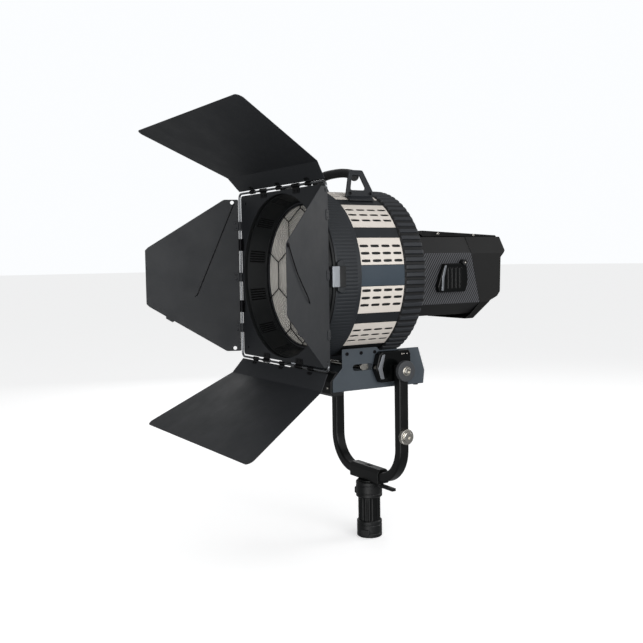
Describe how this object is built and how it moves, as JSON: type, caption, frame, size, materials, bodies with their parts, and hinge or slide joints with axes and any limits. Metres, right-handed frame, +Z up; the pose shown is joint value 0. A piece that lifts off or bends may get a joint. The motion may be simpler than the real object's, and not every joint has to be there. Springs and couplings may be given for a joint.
{
  "type": "fresnel spotlight",
  "caption": "Large fresnel spotlight: ribbed drum with sliding lens, zoom ring, plug-in LED head, barn doors on a wire loop, carry handle and tilting U-yoke on a stand socket.",
  "frame": {"origin": "centre of the stand socket's mouth, on its axis", "axes": "+Z up along the stand socket; light leaves towards -Y; tilt axis along X"},
  "size_m": [0.6962, 0.9051, 1.0777],
  "materials": {
    "black_coat": "black powder-coated aluminium, fine satin",
    "dark_grey_coat": "dark grey coated casting, satin",
    "black_plastic": "moulded, fine matt texture",
    "rubber_grip": "matt rubber",
    "cream_panel": "cream coated sheet, satin",
    "badge_blue_grey": "blue-grey coated sheet, satin",
    "bright_steel": "turned and plated",
    "grey_alloy": "anodised",
    "bare_alloy": "extruded",
    "lens_glass": "pressed optical glass",
    "display_glass": "smoked cover",
    "mirror_alloy": "polished",
    "board_green": "coated circuit board",
    "copper_pipe": "sintered copper"
  },
  "bodies": {
    "socket": {"socket_tube": "black_coat", "socket_collars": "black_plastic"},
    "stand_knob": {"stand_lock_knob": "black_plastic"},
    "pan_knob": {"pan_lock_knob": "black_plastic"},
    "yoke": {"yoke_spigot": "bright_steel", "yoke_sleeve": "black_coat", "yoke_tube": "black_coat"},
    "sleeve_clamp": {"sleeve_lever": "black_plastic"},
    "thumb": {"accessory_knob": "bright_steel"},
    "lamp": {"pivot_bolts": "bright_steel", "pivot_discs": "black_plastic", "base_cradle": "black_coat", "dock_blocks": "black_plastic", "front_block": "black_plastic", "window_bolt": "bright_steel", "case_screws": "bright_steel", "drum_shell": "dark_grey_coat", "front_ring": "dark_grey_coat", "vent_panels": "cream_panel", "badge_plates": "badge_blue_grey", "joint_bars": "black_plastic", "handle_brackets": "dark_grey_coat", "handle_grip": "black_plastic", "accessory_ears": "grey_alloy", "inner_shroud": "black_coat", "guide_rods": "bright_steel", "rear_plate": "black_coat", "head_mount_ring": "dark_grey_coat", "head_case": "black_plastic", "head_rear_shroud": "black_plastic", "head_top_rail": "dark_grey_coat", "head_side_docks": "black_plastic", "led_reflector": "mirror_alloy", "led_module": "bright_steel", "heat_sink": "bare_alloy", "heat_pipes": "copper_pipe", "fan_frame": "black_plastic", "driver_board": "board_green", "rear_panel": "black_plastic", "display_window": "display_glass", "power_inlet": "black_plastic"},
    "tilt_lever": {"tilt_lock_lever": "black_plastic"},
    "latch": {"accessory_latch": "black_plastic"},
    "side_button": {"dock_button": "black_plastic"},
    "dimmer": {"dimmer_knob": "black_plastic"},
    "menu": {"menu_knob": "black_plastic"},
    "power_key": {"power_button": "black_plastic"},
    "fan": {"fan_rotor": "black_plastic"},
    "zoom": {"zoom_ring": "rubber_grip", "cam_sleeve": "grey_alloy"},
    "lens": {"lens_frame": "black_coat", "fresnel_lens": "lens_glass", "lens_guard": "black_coat"},
    "doors": {"barndoor_plate": "black_coat", "barndoor_loop": "bright_steel", "barndoor_ring": "black_plastic"},
    "top_leaf": {"leaf_top": "black_coat"},
    "bottom_leaf": {"leaf_bottom": "black_coat"},
    "right_leaf": {"leaf_right": "black_coat"},
    "left_leaf": {"leaf_left": "black_coat"}
  },
  "joints": [
    {"name": "yoke_pan", "type": "hinge", "parent": "socket", "child": "yoke", "pos_m": [0, 0, 0.15], "axis": [0, 0, 1], "continuous": true},
    {"name": "stand_lock_turn", "type": "hinge", "parent": "socket", "child": "stand_knob", "pos_m": [-0.0424, 0.0265, 0.0225], "axis": [-0.848, 0.5299, 0], "continuous": true},
    {"name": "pan_lock_turn", "type": "hinge", "parent": "socket", "child": "pan_knob", "pos_m": [-0.0424, 0.0265, 0.123], "axis": [-0.848, 0.5299, 0], "continuous": true},
    {"name": "sleeve_lever_turn", "type": "hinge", "parent": "yoke", "child": "sleeve_clamp", "pos_m": [0.05, 0, 0.15], "axis": [0, 0, 1], "range_deg": [-60, 60]},
    {"name": "accessory_knob_turn", "type": "hinge", "parent": "yoke", "child": "thumb", "pos_m": [0.165, 0, 0.293], "axis": [1, 0, 0], "continuous": true},
    {"name": "lamp_tilt", "type": "hinge", "parent": "yoke", "child": "lamp", "pos_m": [0, 0, 0.459], "axis": [1, 0, 0], "range_deg": [-90, 60]},
    {"name": "tilt_lock_turn", "type": "hinge", "parent": "lamp", "child": "tilt_lever", "pos_m": [-0.18, 0, 0.459], "axis": [1, 0, 0], "range_deg": [-75, 75]},
    {"name": "zoom_turn", "type": "hinge", "parent": "lamp", "child": "zoom", "pos_m": [0, 0, 0.7], "axis": [0, 1, 0], "range_deg": [-8, 72]},
    {"name": "lens_slide", "type": "slide", "parent": "lamp", "child": "lens", "axis": [0, 1, 0], "range_m": [-0.0101, 0.0901]},
    {"name": "latch_slide", "type": "slide", "parent": "lamp", "child": "latch", "axis": [0, 0, 1], "range_m": [0, 0.008], "stiffness_N_per_m": 400, "springref_m": -0.002},
    {"name": "side_button_press", "type": "slide", "parent": "lamp", "child": "side_button", "axis": [-1, 0, 0], "range_m": [0, 0.0015], "stiffness_N_per_m": 600, "springref_m": -0.001},
    {"name": "dimmer_turn", "type": "hinge", "parent": "lamp", "child": "dimmer", "pos_m": [0.058, 0.367, 0.71], "axis": [0, 1, 0], "continuous": true},
    {"name": "menu_turn", "type": "hinge", "parent": "lamp", "child": "menu", "pos_m": [-0.058, 0.367, 0.71], "axis": [0, 1, 0], "continuous": true},
    {"name": "power_press", "type": "slide", "parent": "lamp", "child": "power_key", "axis": [0, -1, 0], "range_m": [0, 0.002], "stiffness_N_per_m": 600, "springref_m": -0.001},
    {"name": "fan_spin", "type": "hinge", "parent": "lamp", "child": "fan", "pos_m": [0, 0.25, 0.7], "axis": [0, 1, 0], "continuous": true},
    {"name": "doors_turn", "type": "hinge", "parent": "lamp", "child": "doors", "pos_m": [0, -0.25, 0.7], "axis": [0, 1, 0], "continuous": true},
    {"name": "top_leaf_hinge", "type": "hinge", "parent": "doors", "child": "top_leaf", "pos_m": [0, -0.2585, 0.917], "axis": [1, 0, 0], "range_deg": [-32.4, 80]},
    {"name": "bottom_leaf_hinge", "type": "hinge", "parent": "doors", "child": "bottom_leaf", "pos_m": [0, -0.2585, 0.483], "axis": [-1, 0, 0], "range_deg": [-30.5, 80]},
    {"name": "right_leaf_hinge", "type": "hinge", "parent": "doors", "child": "right_leaf", "pos_m": [0.217, -0.2585, 0.7], "axis": [0, 0, -1], "range_deg": [-37, 128]},
    {"name": "left_leaf_hinge", "type": "hinge", "parent": "doors", "child": "left_leaf", "pos_m": [-0.217, -0.2585, 0.7], "axis": [0, 0, 1], "range_deg": [-52, 111]}
  ],
  "couplings": [
    {"joint": "lens_slide", "follows": "zoom_turn", "m_per_rad": 0.07162}
  ]
}
